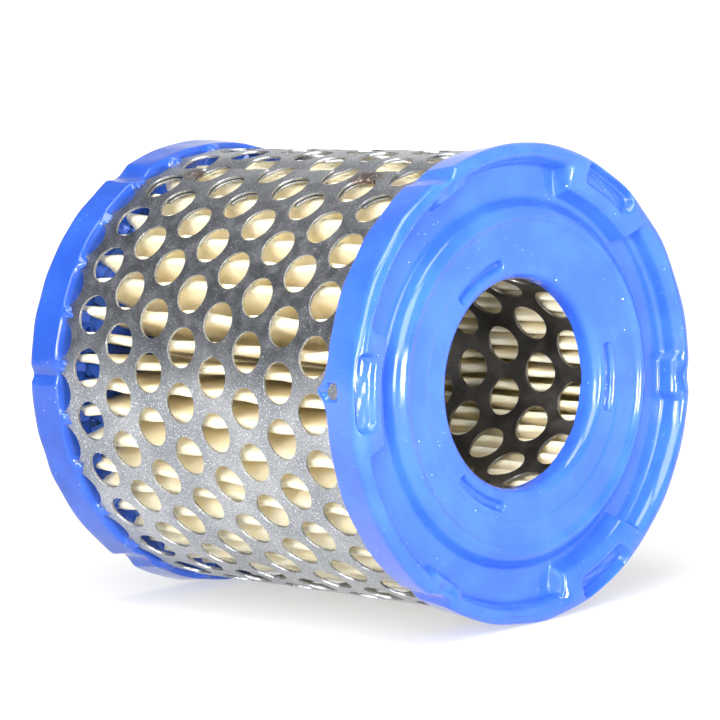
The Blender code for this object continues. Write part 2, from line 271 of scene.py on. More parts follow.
def face_corners(crest_inner_radius, crest_inner_depth, wall_radius):
    """The cast face from the outer shoulder to the end of the bore, as (radius, depth, rounding)."""
    return [
        (CAP_RADIUS, SHOULDER_DEPTH, 1.6 * MM),
        (CREST_RADIUS, 0, 1.6 * MM),
        (crest_inner_radius, crest_inner_depth, 1.1 * MM),
        (wall_radius, FLOOR_DEPTH, 1.2 * MM),
        (BEAD_OUTER_RADIUS, FLOOR_DEPTH, 0.9 * MM),
        (BEAD_OUTER_RADIUS - 1.5 * MM, BEAD_DEPTH + 1.4 * MM, 1.1 * MM),
        (BEAD_OUTER_RADIUS - 3.9 * MM, BEAD_DEPTH, 1.8 * MM),
        (BEAD_INNER_RADIUS, LAND_DEPTH, 1.4 * MM),
        (LAND_STEP_RADIUS, LAND_DEPTH, 0.4 * MM),
        (LAND_STEP_RADIUS - 0.6 * MM, LAND_DEPTH + 0.22 * MM, 0.4 * MM),
        (BORE_RADIUS + 1.4 * MM, LAND_DEPTH + 0.25 * MM, 1.5 * MM),
        (BORE_RADIUS, LAND_DEPTH + 2.1 * MM, 1.5 * MM),
        (BORE_RADIUS, TUBE_END_DEPTH + 0.3 * MM, 0),
    ]


def inside_corners(core_depth):
    """From the end of the bore, behind the tube's end, over the core that holds the paper."""
    return [
        (BORE_RADIUS + 0.9 * MM, TUBE_END_DEPTH + 0.3 * MM, 0),
        (BORE_RADIUS + 0.9 * MM, core_depth, 0.5 * MM),
        (CAGE_RADIUS - 5 * MM, core_depth, 1 * MM),
    ]


def section_angles(pattern_angle):
    """Angles of the cap's sections, close together where the mould's pattern has edges."""
    coarse = math.radians(1.3)
    fine = math.radians(0.26)
    marks = []
    for scoop, slot in mould_angles(pattern_angle):
        marks.append((scoop, SCOOP_BULGE_HALF_ANGLE + math.radians(1.5)))
        marks.append((slot, SLOT.half_angle + math.radians(1)))
        for side in (-1, 1):
            marks.append((scoop + side * POCKET.half_angle, math.radians(2.5)))
            marks.append((slot + side * SLOT_BULGE_HALF_ANGLE, math.radians(2)))
    angles = []
    angle = 0.0
    while angle < TURN - fine / 2:
        angles.append(angle)
        middle = angle + coarse / 2
        is_near = any(abs(turn_between(middle, mark)) < reach + coarse / 2 for mark, reach in marks)
        angle += fine if is_near else coarse
    return np.array(angles)


def mould_angles(pattern_angle):
    """The (scoop, slot) angles of each third of the mould's pattern."""
    pairs = []
    for fold in range(MOULD_FOLDS):
        scoop = pattern_angle + TURN * fold / MOULD_FOLDS
        pairs.append((scoop, scoop + TURN / (2 * MOULD_FOLDS)))
    return pairs


def inside_recess(radius, turn, recess):
    """How far each point is inside a recess: 0 outside, 1 on its floor."""
    across = np.abs(radius - recess.radius) - recess.half_width + recess.rounding
    along = (np.abs(turn) - recess.half_angle) * recess.radius + recess.rounding
    beyond_corner = np.hypot(np.maximum(across, 0), np.maximum(along, 0))
    outside = beyond_corner + np.minimum(np.maximum(across, along), 0)
    return smoothstep((recess.rounding - outside) / recess.soft)


def press_channel(radius, offset, rod_radius, rod_centre, softness, share):
    """Press a rod into the side wall; share fades the channel out where the rod doesn't reach."""
    inside_rod = np.clip(rod_radius**2 - offset**2, 0, None)
    bottom = np.where(inside_rod > 0, rod_centre - np.sqrt(inside_rod), 2 * CAP_RADIUS)
    over = np.clip((bottom - radius) / softness, -50, 50)
    pressed = bottom - softness * np.log1p(np.exp(over))
    return radius + (np.minimum(radius, pressed) - radius) * share


def widened_rim(across, pattern_angle):
    """How far the rim is widened at each angle: 0 plain, 1 round the slots."""
    widening = np.zeros_like(across)
    for scoop, slot in mould_angles(pattern_angle):
        from_slot = CAP_RADIUS * turn_between(across, slot)
        from_scoop = CAP_RADIUS * turn_between(across, scoop)
        widening += plateau(from_slot, CAP_RADIUS * SLOT_BULGE_HALF_ANGLE, 3 * MM)
        widening += 0.3 * plateau(from_scoop, CAP_RADIUS * SCOOP_BULGE_HALF_ANGLE, 2.4 * MM)
    return widening


def cap_surface(wall_corners, core_depth, pattern_angle, seed):
    """Angle, radius and depth of every point of a cap, and which ones are on the outside of its wall."""
    plain = face_corners(CAP_RADIUS - 4.6 * MM, 2.3 * MM, RIM_INNER_RADIUS)
    widened = face_corners(BEAD_OUTER_RADIUS + 3.8 * MM, 1.2 * MM, BEAD_OUTER_RADIUS + 1.8 * MM)
    inside = inside_corners(core_depth)
    corner_lists = [wall_corners + plain + inside, wall_corners + widened + inside]
    outlines = matched_outlines(corner_lists, OUTLINE_SPACING)
    crest = int(np.argmin(outlines[0, :, 1]))
    is_wall = (np.arange(outlines.shape[1]) < crest)[None, :]

    across = section_angles(pattern_angle)[:, None]
    widening = widened_rim(across, pattern_angle)
    radius = outlines[0, :, 0] + (outlines[1, :, 0] - outlines[0, :, 0]) * widening
    depth = outlines[0, :, 1] + (outlines[1, :, 1] - outlines[0, :, 1]) * widening
    depth = cut_recesses(across, radius, depth, pattern_angle, seed)
    radius, depth = press_scoops(across, radius, depth, is_wall, pattern_angle)
    return across, radius, depth, is_wall


def cut_recesses(across, radius, depth, pattern_angle, seed):
    """Slots in the rim, with a streaky floor that falls outwards, and pockets beside the bore."""
    is_face = (radius > BORE_RADIUS + 0.3 * MM) & (depth < FLOOR_DEPTH + 0.5 * MM)
    streaks = wander(across * CAP_RADIUS / 9, radius, seed + 1, 0.9 * MM)
    across_slot = radius - SLOT.radius + SLOT.half_width
    slot_floor = SLOT_INNER_DEPTH + SLOT_FALL * across_slot + 0.05 * MM * streaks
    pocket_depth = POCKET_DEPTH + 0.1 * MM * streaks
    for scoop, slot in mould_angles(pattern_angle):
        in_slot = inside_recess(radius, turn_between(across, slot), SLOT)
        depth = depth + is_face * in_slot * (slot_floor - depth)
        from_pocket = turn_between(across, scoop + POCKET_TURN)
        in_pocket = inside_recess(radius, from_pocket, POCKET)
        on_lip = inside_recess(radius, from_pocket, POCKET_LIP) - in_pocket
        depth = depth + is_face * (in_pocket * pocket_depth - on_lip * POCKET_LIP_HEIGHT)
    return depth


def press_scoops(across, radius, depth, is_wall, pattern_angle):
    """The rounded scoops in the rim and the channels below them, the length of the side wall."""
    is_outer = is_wall | (radius > CAP_RADIUS - 3 * MM) & (depth < 2 * MM)
    for scoop, _ in mould_angles(pattern_angle):
        offset = CAP_RADIUS * turn_between(across, scoop)
        radius = press_channel(radius, offset, SCOOP_ROD_RADIUS, SCOOP_ROD_CENTRE, 0.6 * MM, is_outer * 1.0)
        from_bowl = np.hypot(offset, (radius - CAP_RADIUS + 1 * MM) * 0.85)
        in_bowl = smoothstep((BOWL_RADIUS - from_bowl) / (4 * MM))
        near_crest = smoothstep((3.6 * MM - depth) / (1.8 * MM))
        depth = depth + ~is_wall * BOWL_DEPTH * in_bowl * near_crest
    return radius, depth


def cap_points(across, radius, depth, is_wall, end, seed):
    """World points of a cap; the resting flat is where its soft rim meets the floor."""
    swell = wander(across * CAP_RADIUS, depth, seed, 14 * MM)
    is_outer = is_wall | (radius > CAP_RADIUS - 2 * MM)
    radius = radius + is_outer * (swell - 2.2) * 0.1 * MM
    x = end * (HALF_LENGTH - depth)
    y = radius * np.cos(across)
    z = np.maximum(radius * np.sin(across), -AXIS_HEIGHT + 0.02 * MM)
    return np.stack([x, y, z + AXIS_HEIGHT], axis=-1)


def make_front_cap(material):
    """The front cap; its wall runs out in a thin tip over the cage beside each pin's window."""
    wall = [
        (CAGE_RADIUS - 1.2 * MM, FRONT_WALL_DEPTH - 1.4 * MM, 0.3 * MM),
        (CAGE_RADIUS - 0.3 * MM, FRONT_WALL_DEPTH - 0.1 * MM, 0.2 * MM),
        (CAGE_RADIUS + 0.35 * MM, FRONT_WALL_DEPTH, 0.2 * MM),
        (CAGE_RADIUS + 1.2 * MM, FRONT_WALL_DEPTH - 0.9 * MM, 0.8 * MM),
    ]
    across, radius, depth, is_wall = cap_surface(wall, FRONT_CORE_DEPTH, FRONT_PATTERN_ANGLE, 3)
    for _, slot in mould_angles(FRONT_PATTERN_ANGLE):
        offset = CAP_RADIUS * turn_between(across, slot)
        sharpness = np.hypot(offset, 0.3 * MM) / TIP_WIDTH
        depth = depth + near_wall_edge(depth, is_wall) * TIP_LENGTH * np.exp(-sharpness)
        past_pin = smoothstep((depth - PIN_DEPTH - PIN_LENGTH) / (1.4 * MM))
        rod_centre = CAGE_RADIUS + (0.9 + 1.45 * past_pin) * MM
        pin = smoothstep((depth - PIN_DEPTH) / (0.5 * MM)) * is_wall
        radius = press_channel(radius, offset, PIN_RADIUS, rod_centre, 0.15 * MM, pin)
    edge_wander = 0.22 * MM * ripple(across, 5, 5, 24) + 0.35 * MM * ripple(across, 6, 1, 3)
    depth = depth + near_wall_edge(depth, is_wall) * edge_wander
    mesh = mesh_from_grid("front_cap", cap_points(across, radius, depth, is_wall, 1, 3))
    return add_piece("front_cap", mesh, material, "blue_polyurethane", "front_end_cap")


def near_wall_edge(depth, is_wall):
    """0 on most of the front cap, rising to 1 at the edge of its side wall."""
    return smoothstep((depth - WALL_EDGE_START) / (FRONT_WALL_DEPTH - WALL_EDGE_START)) * is_wall


def make_rear_cap(material):
    """The rear cap; its lip is scalloped where the polyurethane sank into the half-covered holes."""
    rear = REAR_WALL_DEPTH
    wall = [
        (CAGE_RADIUS - 4.4 * MM, rear + 3.4 * MM, 0.5 * MM),
        (CAGE_RADIUS - 1.6 * MM, rear + 2.6 * MM, 0.8 * MM),
        (CAGE_RADIUS + 0.1 * MM, rear + 1.5 * MM, 0.4 * MM),
        (CAGE_RADIUS + 0.9 * MM, rear + 0.7 * MM, 0.5 * MM),
        (CAGE_RADIUS + 1.6 * MM, rear - 0.6 * MM, 0.8 * MM),
    ]
    across, radius, depth, is_wall = cap_surface(wall, REAR_CORE_DEPTH, REAR_PATTERN_ANGLE, 7)
    whole_wall = is_wall * 1.0
    for _, slot in mould_angles(REAR_PATTERN_ANGLE):
        offset = CAP_RADIUS * turn_between(across, slot)
        radius = press_channel(radius, offset, CHANNEL_ROD_RADIUS, CHANNEL_ROD_CENTRE, 0.3 * MM, whole_wall)
    radius, depth = sink_drops(across, radius, depth, is_wall)
    mesh = mesh_from_grid("rear_cap", cap_points(across, radius, depth, is_wall, -1, 7))
    return add_piece("rear_cap", mesh, material, "blue_polyurethane", "rear_end_cap")


def sink_drops(across, radius, depth, is_wall):
    """Hollow drops along the rear cap's lip, one at each hole of the ring below it, with beads between."""
    holes = CAGE_HOLES_ROUND
    first_hole = CAGE_HOLE_ANGLE + TURN / holes / 2
    from_hole = turn_between(across * holes, first_hole * holes)
    over_hole = np.sqrt(np.clip(1 - (from_hole / DROP_HALF_TURN) ** 2, 0, 1))
    near_lip = smoothstep((depth - REAR_WALL_DEPTH + 0.5 * MM) / (1.6 * MM)) * is_wall
    sunk = over_hole * near_lip * (1 + 0.22 * ripple(across, 12, 3, 20))
    radius = radius - sunk * DROP_SINK
    depth = depth - sunk * DROP_SETBACK
    beads = np.clip(wander(across * CAP_RADIUS, depth, 14, 2.6 * MM), 0, None) * (1 - over_hole) * near_lip
    return radius + beads * 0.25 * MM, depth + beads * 0.5 * MM


# Perforated tubes


def cell_outline(pitch):
    """Evenly divided border of one six-sided cell of the flat sheet."""
    corners = [
        (0.5 * pitch, -RING_STEP / 3),
        (0.5 * pitch, RING_STEP / 3),
        (0, 2 * RING_STEP / 3),
        (-0.5 * pitch, RING_STEP / 3),
        (-0.5 * pitch, -RING_STEP / 3),
        (0, -2 * RING_STEP / 3),
    ]
    border = []
    for start, end in zip(corners, corners[1:] + corners[:1]):
        for k in range(SEGMENTS_PER_CELL_SIDE):
            share = k / SEGMENTS_PER_CELL_SIDE
            border.append((start[0] + (end[0] - start[0]) * share, start[1] + (end[1] - start[1]) * share))
    return border


def add_cell(bm, border, across, along, is_punched):
    """A flat cell with a round hole: border, rings between, and the hole's edge; or a plain cell."""
    if not is_punched:
        bm.faces.new([bm.verts.new((across + u, along + v, 0)) for u, v in border])
        return
    sides = len(border)
    rings = []
    for share in (0, 0.5, 0.9, 1):
        ring = []
        for k, (u, v) in enumerate(border):
            turn = TURN * (k / sides) - math.pi / 6
            hole_u = HOLE_RADIUS * math.cos(turn)
            hole_v = HOLE_RADIUS * math.sin(turn)
            point = (across + u + (hole_u - u) * share, along + v + (hole_v - v) * share, 0)
            ring.append(bm.verts.new(point))
        rings.append(ring)
    for outer, inner in zip(rings, rings[1:]):
        for k in range(sides):
            bm.faces.new((outer[k - 1], outer[k], inner[k], inner[k - 1]))


def flat_sheet(pitch, first_across, columns, first_along, rings, blank_rings=0):
    """Flat sheet with rings of holes; the last few rings can be left blank, as an unpunched margin."""
    bm = bmesh.new()
    border = cell_outline(pitch)
    for ring in range(rings):
        shift = 0.5 * pitch * (ring % 2)
        for column in range(columns):
            across = first_across + shift + column * pitch
            add_cell(bm, border, across, first_along + ring * RING_STEP, ring < rings - blank_rings)
    bmesh.ops.remove_doubles(bm, verts=bm.verts, dist=0.03 * MM)
    return bm


def trim_sheet(bm, point, outward):
    geometry = [*bm.verts, *bm.edges, *bm.faces]
    bmesh.ops.bisect_plane(bm, geom=geometry, dist=1e-6, plane_co=point, plane_no=outward, clear_outer=True)


def roll_sheet(bm, radius, radius_at):
    """Bend the flat sheet: across becomes the angle, along becomes X."""
    for vert in bm.verts:
        angle = vert.co.x / radius
        here = radius_at(angle, vert.co.y)
        vert.co = (vert.co.y, here * math.cos(angle), here * math.sin(angle) + AXIS_HEIGHT)
    bmesh.ops.remove_doubles(bm, verts=bm.verts, dist=0.03 * MM)


def finish_sheet(name, bm, material, slot, node):
    """Give the rolled sheet its thickness and slightly rounded punched edges."""
    bmesh.ops.recalc_face_normals(bm, faces=bm.faces)
    probe = next(iter(bm.faces))
    middle = probe.calc_center_median() - Vector((0, 0, AXIS_HEIGHT))
    if probe.normal.y * middle.y + probe.normal.z * middle.z < 0:
        bmesh.ops.reverse_faces(bm, faces=bm.faces)
    mesh = bpy.data.meshes.new(name)
    bm.to_mesh(mesh)
    bm.free()
    mesh.shade_smooth()
    piece = add_piece(name, mesh, material, slot, node)
    thickness = piece.modifiers.new("sheet_thickness", "SOLIDIFY")
    thickness.thickness = SHEET
    thickness.offset = -1
    edges = piece.modifiers.new("punched_edges", "BEVEL")
    edges.width = HOLE_EDGE
    edges.segments = 2
    edges.limit_method = "ANGLE"
    edges.angle_limit = math.radians(60)
    shading = piece.modifiers.new("flat_shading", "WEIGHTED_NORMAL")
    shading.mode = "FACE_AREA"
    shading.weight = 80
    return piece


def cage_radius_at(angle, x):
    """Outer radius of the cage's sheet, which steps down to pass under its own other edge."""
    share = smoothstep((angle - SEAM_ANGLE - TURN + STEP_ANGLE) / STEP_ANGLE)
    weld_dent = 0.0
    for depth in WELD_DEPTHS_FROM_REAR:
        away = math.hypot(x + HALF_LENGTH - depth, (angle - WELD_ANGLE) * CAGE_RADIUS)
        weld_dent += 0.22 * MM * math.exp(-((away / (1.7 * MM)) ** 2))
    return CAGE_RADIUS - LAP_DROP * float(share) - weld_dent


def make_cage(material):
    rear_x = -HALF_LENGTH + CAGE_END_DEPTH
    pitch = TURN * CAGE_RADIUS / CAGE_HOLES_ROUND
    columns_before_seam = math.floor((SEAM_ANGLE - CAGE_HOLE_ANGLE) / (TURN / CAGE_HOLES_ROUND))
    first_across = CAGE_HOLE_ANGLE * CAGE_RADIUS + (columns_before_seam - 1.5) * pitch
    first_along = CAGE_FIRST_RING_DEPTH - HALF_LENGTH
    bm = flat_sheet(pitch, first_across, CAGE_HOLES_ROUND + 4, first_along, CAGE_RINGS, blank_rings=1)
    trim_sheet(bm, (0, -rear_x, 0), (0, 1, 0))
    trim_sheet(bm, (0, rear_x, 0), (0, -1, 0))
    trim_sheet(bm, (SEAM_ANGLE * CAGE_RADIUS, 0, 0), (-1, 0, 0))
    trim_sheet(bm, ((SEAM_ANGLE + TURN + LAP_ANGLE) * CAGE_RADIUS, 0, 0), (1, 0, 0))
    roll_sheet(bm, CAGE_RADIUS, cage_radius_at)
    return finish_sheet("perforated_cage", bm, material, "galvanised_sheet", "outer_cage")


def make_tube(material):
    front_x = TUBE_HIGH[0]
    pitch = TURN * TUBE_RADIUS / TUBE_HOLES_ROUND
    first_ring_x = front_x - TUBE_LAST_RING_FROM_END - (TUBE_RINGS - 1) * RING_STEP
    bm = flat_sheet(pitch, TUBE_HOLE_ANGLE * TUBE_RADIUS, TUBE_HOLES_ROUND, first_ring_x, TUBE_RINGS)
    trim_sheet(bm, (0, front_x, 0), (0, 1, 0))
    trim_sheet(bm, (0, -front_x, 0), (0, -1, 0))
    roll_sheet(bm, TUBE_RADIUS, lambda angle, x: TUBE_RADIUS)
    return finish_sheet("perforated_tube", bm, material, "tube_steel", "inner_tube")


# Paper


def fold_points(middle_angle, tip_radius, fold_radius, side, held):
    """Round one fold; side is -1 for an outer fold and 1 for an inner one."""
    points = []
    for k in range(5):
        turn = math.pi * (k / 4 - 0.5)
        radius = tip_radius + side * fold_radius * (1 - math.cos(turn))
        points.append((radius, middle_angle + fold_radius * math.sin(turn) / radius, held))
    return points


def flank_points(outer_angle, inner_angle, shares, held):
    """Along one flank; a share is 0 at the outer fold and 1 at the inner one."""
    height = PLEAT_OUTER_RADIUS - PLEAT_INNER_RADIUS - OUTER_FOLD - INNER_FOLD
    points = []
    for share in shares:
        radius = PLEAT_OUTER_RADIUS - OUTER_FOLD - share * height
        points.append((radius, outer_angle + (inner_angle - outer_angle) * share, held))
    return points


def pleat_line():
    """One turn of the folded paper as (radius, angle, freedom to waver), with rounded folds."""
    step = TURN / PLEATS
    outer_half = OUTER_FOLD / PLEAT_OUTER_RADIUS
    inner_half = INNER_FOLD / PLEAT_INNER_RADIUS
    line = []
    for pleat in range(PLEATS):
        ridge = step * pleat
        valley = ridge + step / 2
        held = 0.15 if abs(pleat - CLIP_PLEAT) <= 1 else 1.0
        line += fold_points(ridge, PLEAT_OUTER_RADIUS - PAPER / 2, OUTER_FOLD, -1, held)
        line += flank_points(ridge + outer_half, valley - inner_half, (0.25, 0.5, 0.75), held)
        line += fold_points(valley, PLEAT_INNER_RADIUS + PAPER / 2, INNER_FOLD, 1, held)
        line += flank_points(ridge + step - outer_half, valley + inner_half, (0.75, 0.5, 0.25), held)
    return np.array(line)


def make_paper(material):
    """The pleated paper, whose folds lean and waver a little as paper between two tubes does."""
    line = pleat_line()
    buried = 0.5 * MM
    rear_end = -HALF_LENGTH + REAR_CORE_DEPTH - buried
    front_end = HALF_LENGTH - FRONT_CORE_DEPTH + buried
    along = np.linspace(rear_end, front_end, 34)[None, :]
    radius = line[:, 0][:, None]
    angle = line[:, 1][:, None]
    freedom = line[:, 2][:, None]
    outward = (radius - PLEAT_INNER_RADIUS) / (PLEAT_OUTER_RADIUS - PLEAT_INNER_RADIUS)
    lean = ripple(line[:, 1], 21, 3, 16)[:, None] * 0.9 * MM
    waver = wander(angle * 40 * MM, along, 22, 26 * MM) * 0.42 * MM
    crease = wander(angle * 90 * MM, along, 23, 9 * MM) * 0.12 * MM
    sideways = freedom * (lean * outward + waver * (0.35 + 0.65 * outward) + crease)
    angle = angle + sideways / radius
    inset = freedom * np.abs(wander(angle * 60 * MM, along, 24, 18 * MM)) * 0.35 * MM
    radius = radius - inset * outward
    x = np.broadcast_to(along, angle.shape)
    points = np.stack([x, radius * np.cos(angle), radius * np.sin(angle) + AXIS_HEIGHT], axis=-1)
    rows, columns = points.shape[:2]
    faces = []
    for row in range(rows):
        after = (row + 1) % rows
        for column in range(columns - 1):
            start = row * columns + column
            end = after * columns + column
            faces.append((start, end, end + 1, start + 1))
    mesh = bpy.data.meshes.new("paper_pleats")
    mesh.from_pydata(points.reshape(-1, 3).tolist(), [], faces)
    mesh.shade_smooth()
    piece = add_piece("paper_pleats", mesh, material, "filter_paper", "pleated_paper")
    thickness = piece.modifiers.new("paper_thickness", "SOLIDIFY")
    thickness.thickness = PAPER
    thickness.offset = 0
    return piece


# Materials


class Nodes:
    """Short names for building a material's nodes."""

    def __init__(self, name):
        self.material = bpy.data.materials.new(name)
        self.material.use_nodes = True
        self.tree = self.material.node_tree
        self.shader = self.tree.nodes["Principled BSDF"]
        self.place = self.add("ShaderNodeTexCoord").outputs["Object"]

    def add(self, kind):
        return self.tree.nodes.new(kind)

    def link(self, output, target):
        self.tree.links.new(output, target)

    def set(self, **values):
        for name, value in values.items():
            socket = self.shader.inputs[name.replace("_", " ")]
            socket.default_value = value

    def stretched(self, scale):
        node = self.add("ShaderNodeMapping")
        node.inputs["Scale"].default_value = scale
        self.link(self.place, node.inputs["Vector"])
        return node.outputs["Vector"]

    def noise(self, size, detail=3, vector=None, distortion=0.0):
        """Noise whose features are about size metres across."""
        node = self.add("ShaderNodeTexNoise")
        node.inputs["Scale"].default_value = 1 / size
        node.inputs["Detail"].default_value = detail
        node.inputs["Roughness"].default_value = 0.55
        node.inputs["Distortion"].default_value = distortion
        self.link(vector or self.place, node.inputs["Vector"])
        return node.outputs["Fac"]

    def cells(self, size, output="Distance"):
        """Scattered cells about size metres apart."""
        node = self.add("ShaderNodeTexVoronoi")
        node.inputs["Scale"].default_value = 1 / size
        self.link(self.place, node.inputs["Vector"])
        return node.outputs[output]

    def remap(self, value, low, high, to_low=0.0, to_high=1.0):
        node = self.add("ShaderNodeMapRange")
        node.interpolation_type = "SMOOTHSTEP"
        for name, number in zip(("From Min", "From Max", "To Min", "To Max"), (low, high, to_low, to_high)):
            node.inputs[name].default_value = number
        self.link(value, node.inputs["Value"])
        return node.outputs["Result"]

    def math(self, operation, first, second):
        node = self.add("ShaderNodeMath")
        node.operation = operation
        for socket, value in zip(node.inputs, (first, second)):
            if isinstance(value, (int, float)):
                socket.default_value = value
            else:
                self.link(value, socket)
        return node.outputs["Value"]

    def mix(self, share, first, second):
        """Mix two colours; a colour is a tuple or a socket."""
        node = self.add("ShaderNodeMix")
        node.data_type = "RGBA"
        colour_inputs = [socket for socket in node.inputs if socket.type == "RGBA"]
        self.link(share, node.inputs["Factor"])
        for socket, value in zip(colour_inputs, (first, second)):
            if isinstance(value, tuple):
                socket.default_value = (*value, 1)
            else:
                self.link(value, socket)
        return [socket for socket in node.outputs if socket.type == "RGBA"][0]

    def bump(self, height, distance, strength=1.0, normal=None):
        node = self.add("ShaderNodeBump")
        node.inputs["Strength"].default_value = strength
        node.inputs["Distance"].default_value = distance
        self.link(height, node.inputs["Height"])
        if normal:
            self.link(normal, node.inputs["Normal"])
        return node.outputs["Normal"]


def blue_polyurethane(name, deep, pale):
    """Glossy cast rubber, cloudy between a deep and a pale blue, with dust specks and fine scratches."""
    n = Nodes(name)
    cloud = n.remap(n.noise(14 * MM, 3), 0.35, 0.65)
    colour = n.mix(cloud, deep, pale)
    streak = n.remap(n.noise(5 * MM, 4, vector=n.stretched((0.5, 1, 1))), 0.4, 0.7)
    colour = n.mix(n.math("MULTIPLY", streak, 0.3), colour, deep)
    colour = n.mix(dust_specks(n, 4.2 * MM, 0.042, 26 * MM), colour, (0.85, 0.92, 1.0))
    colour = n.mix(dust_specks(n, 1.7 * MM, 0.06, 11 * MM), colour, (0.80, 0.88, 1.0))
    n.link(colour, n.shader.inputs["Base Color"])
    lines = n.noise(1.1 * MM, 2, vector=n.stretched((0.06, 1, 1)), distortion=0.6)
    scratch = n.remap(lines, 0.68, 0.76)
    smear = n.remap(n.noise(7 * MM, 4), 0.4, 0.7, 0.16, 0.27)
    n.link(n.math("ADD", smear, n.math("MULTIPLY", scratch, 0.15)), n.shader.inputs["Roughness"])
    orange_peel = n.bump(n.noise(3.2 * MM, 3), 0.10 * MM, 0.5)
    n.link(n.bump(scratch, -0.02 * MM, 0.5, orange_peel), n.shader.inputs["Normal"])
    n.set(Subsurface_Weight=0.2, Subsurface_Scale=1.6 * MM)
    n.set(IOR=1.5, Coat_Weight=0.6, Coat_Roughness=0.08, Specular_IOR_Level=0.2)
    n.shader.inputs["Subsurface Radius"].default_value = (0.25, 0.6, 1.6)
    return n.material


def dust_specks(n, spacing, largest, patch):
    """Scattered specks about one to a spacing, gathered in patches."""
    size = n.remap(n.cells(spacing, output="Color"), 0.0, 1.0, 0.01, largest)
    speck = n.math("LESS_THAN", n.cells(spacing), size)
    return n.math("MULTIPLY", speck, n.remap(n.noise(patch, 3), 0.42, 0.52))


def galvanised_sheet():
    """Zinc-coated sheet: fine spangle, sparkle, grey smudges, and burnt spots at the welds."""
    n = Nodes("galvanised_sheet")
    spangle = n.cells(0.9 * MM, output="Color")
    fine = n.noise(0.3 * MM, 3)
    smudge = n.remap(n.noise(20 * MM, 4), 0.35, 0.68)
    colour = n.mix(smudge, (0.34, 0.36, 0.39), (0.56, 0.57, 0.59))
    colour = n.mix(n.math("MULTIPLY", n.remap(fine, 0.38, 0.62), 0.55), colour, (0.20, 0.215, 0.24))
    sparkle = n.remap(n.noise(0.34 * MM, 1), 0.61, 0.68)
    colour = n.mix(n.math("MULTIPLY", sparkle, 0.85), colour, (1.0, 1.0, 1.0))
    colour = weld_burns(n, colour)
    n.link(colour, n.shader.inputs["Base Color"])
    n.link(n.remap(n.noise(3.5 * MM, 5), 0.3, 0.7, 0.28, 0.42), n.shader.inputs["Roughness"])
    n.set(Metallic=1.0)
    relief = n.bump(fine, 0.05 * MM, 0.9)
    n.link(n.bump(spangle, 0.03 * MM, 0.6, relief), n.shader.inputs["Normal"])
    return n.material


def weld_burns(n, colour):
    """Brown scorch round each spot weld on the lapped seam, with bright spatter."""
    for depth in WELD_DEPTHS_FROM_REAR:
        x = depth - HALF_LENGTH
        y = CAGE_RADIUS * math.cos(WELD_ANGLE)
        z = CAGE_RADIUS * math.sin(WELD_ANGLE) + AXIS_HEIGHT
        node = n.add("ShaderNodeVectorMath")
        node.operation = "DISTANCE"
        n.link(n.place, node.inputs[0])
        node.inputs[1].default_value = (x, y, z)
        ragged = n.math("ADD", node.outputs["Value"], n.math("MULTIPLY", n.noise(1.6 * MM, 3), 3.6 * MM))
        scorch = n.remap(ragged, 5.6 * MM, 3.0 * MM)
        melted = n.remap(ragged, 3.9 * MM, 2.9 * MM)
        colour = n.mix(n.math("MULTIPLY", scorch, 0.85), colour, (0.16, 0.085, 0.05))
        spatter = n.remap(n.noise(0.7 * MM, 2), 0.52, 0.6)
        colour = n.mix(n.math("MULTIPLY", melted, spatter), colour, (0.75, 0.72, 0.70))
    return colour


def tube_steel():
    """Darker, oily steel of the inner tube."""
    n = Nodes("tube_steel")
    smudge = n.remap(n.noise(9 * MM, 4), 0.35, 0.7)
    colour = n.mix(smudge, (0.13, 0.125, 0.12), (0.24, 0.225, 0.21))
    fine = n.noise(0.45 * MM, 2)
    colour = n.mix(n.math("MULTIPLY", n.remap(fine, 0.62, 0.74), 0.35), colour, (0.5, 0.48, 0.46))
    n.link(colour, n.shader.inputs["Base Color"])
    n.link(n.remap(n.noise(4 * MM, 4), 0.3, 0.7, 0.34, 0.5), n.shader.inputs["Roughness"])
    n.link(n.bump(fine, 0.02 * MM, 0.5), n.shader.inputs["Normal"])
    n.set(Metallic=1.0)
    return n.material


def filter_paper():
    """Cream resin-treated paper that lets some light through."""
    n = Nodes("filter_paper")
    mottle = n.remap(n.noise(6 * MM, 4), 0.35, 0.65)
    fibre = n.noise(0.35 * MM, 3, vector=n.stretched((0.35, 1, 1)))
    colour = n.mix(mottle, (0.99, 0.84, 0.53), (0.99, 0.89, 0.65))
    colour = n.mix(n.math("MULTIPLY", n.remap(fibre, 0.45, 0.7), 0.3), colour, (0.99, 0.93, 0.78))
    n.link(colour, n.shader.inputs["Base Color"])
    n.set(Roughness=0.85, Subsurface_Weight=0.6, Subsurface_Scale=1.5 * MM)
    n.shader.inputs["Subsurface Radius"].default_value = (1.0, 1.0, 0.8)
    n.link(n.bump(fibre, 0.05 * MM, 0.5), n.shader.inputs["Normal"])
    return n.material


def clip_steel():
    """Plain strip with rolling marks along its length."""
    n = Nodes("clip_steel")
    rolling = n.noise(0.8 * MM, 3, vector=n.stretched((0.05, 1, 1)))
    n.link(n.mix(rolling, (0.45, 0.45, 0.46), (0.62, 0.62, 0.63)), n.shader.inputs["Base Color"])
    n.link(n.remap(rolling, 0.3, 0.7, 0.25, 0.42), n.shader.inputs["Roughness"])
    n.set(Metallic=1.0)
    return n.material


# Stage


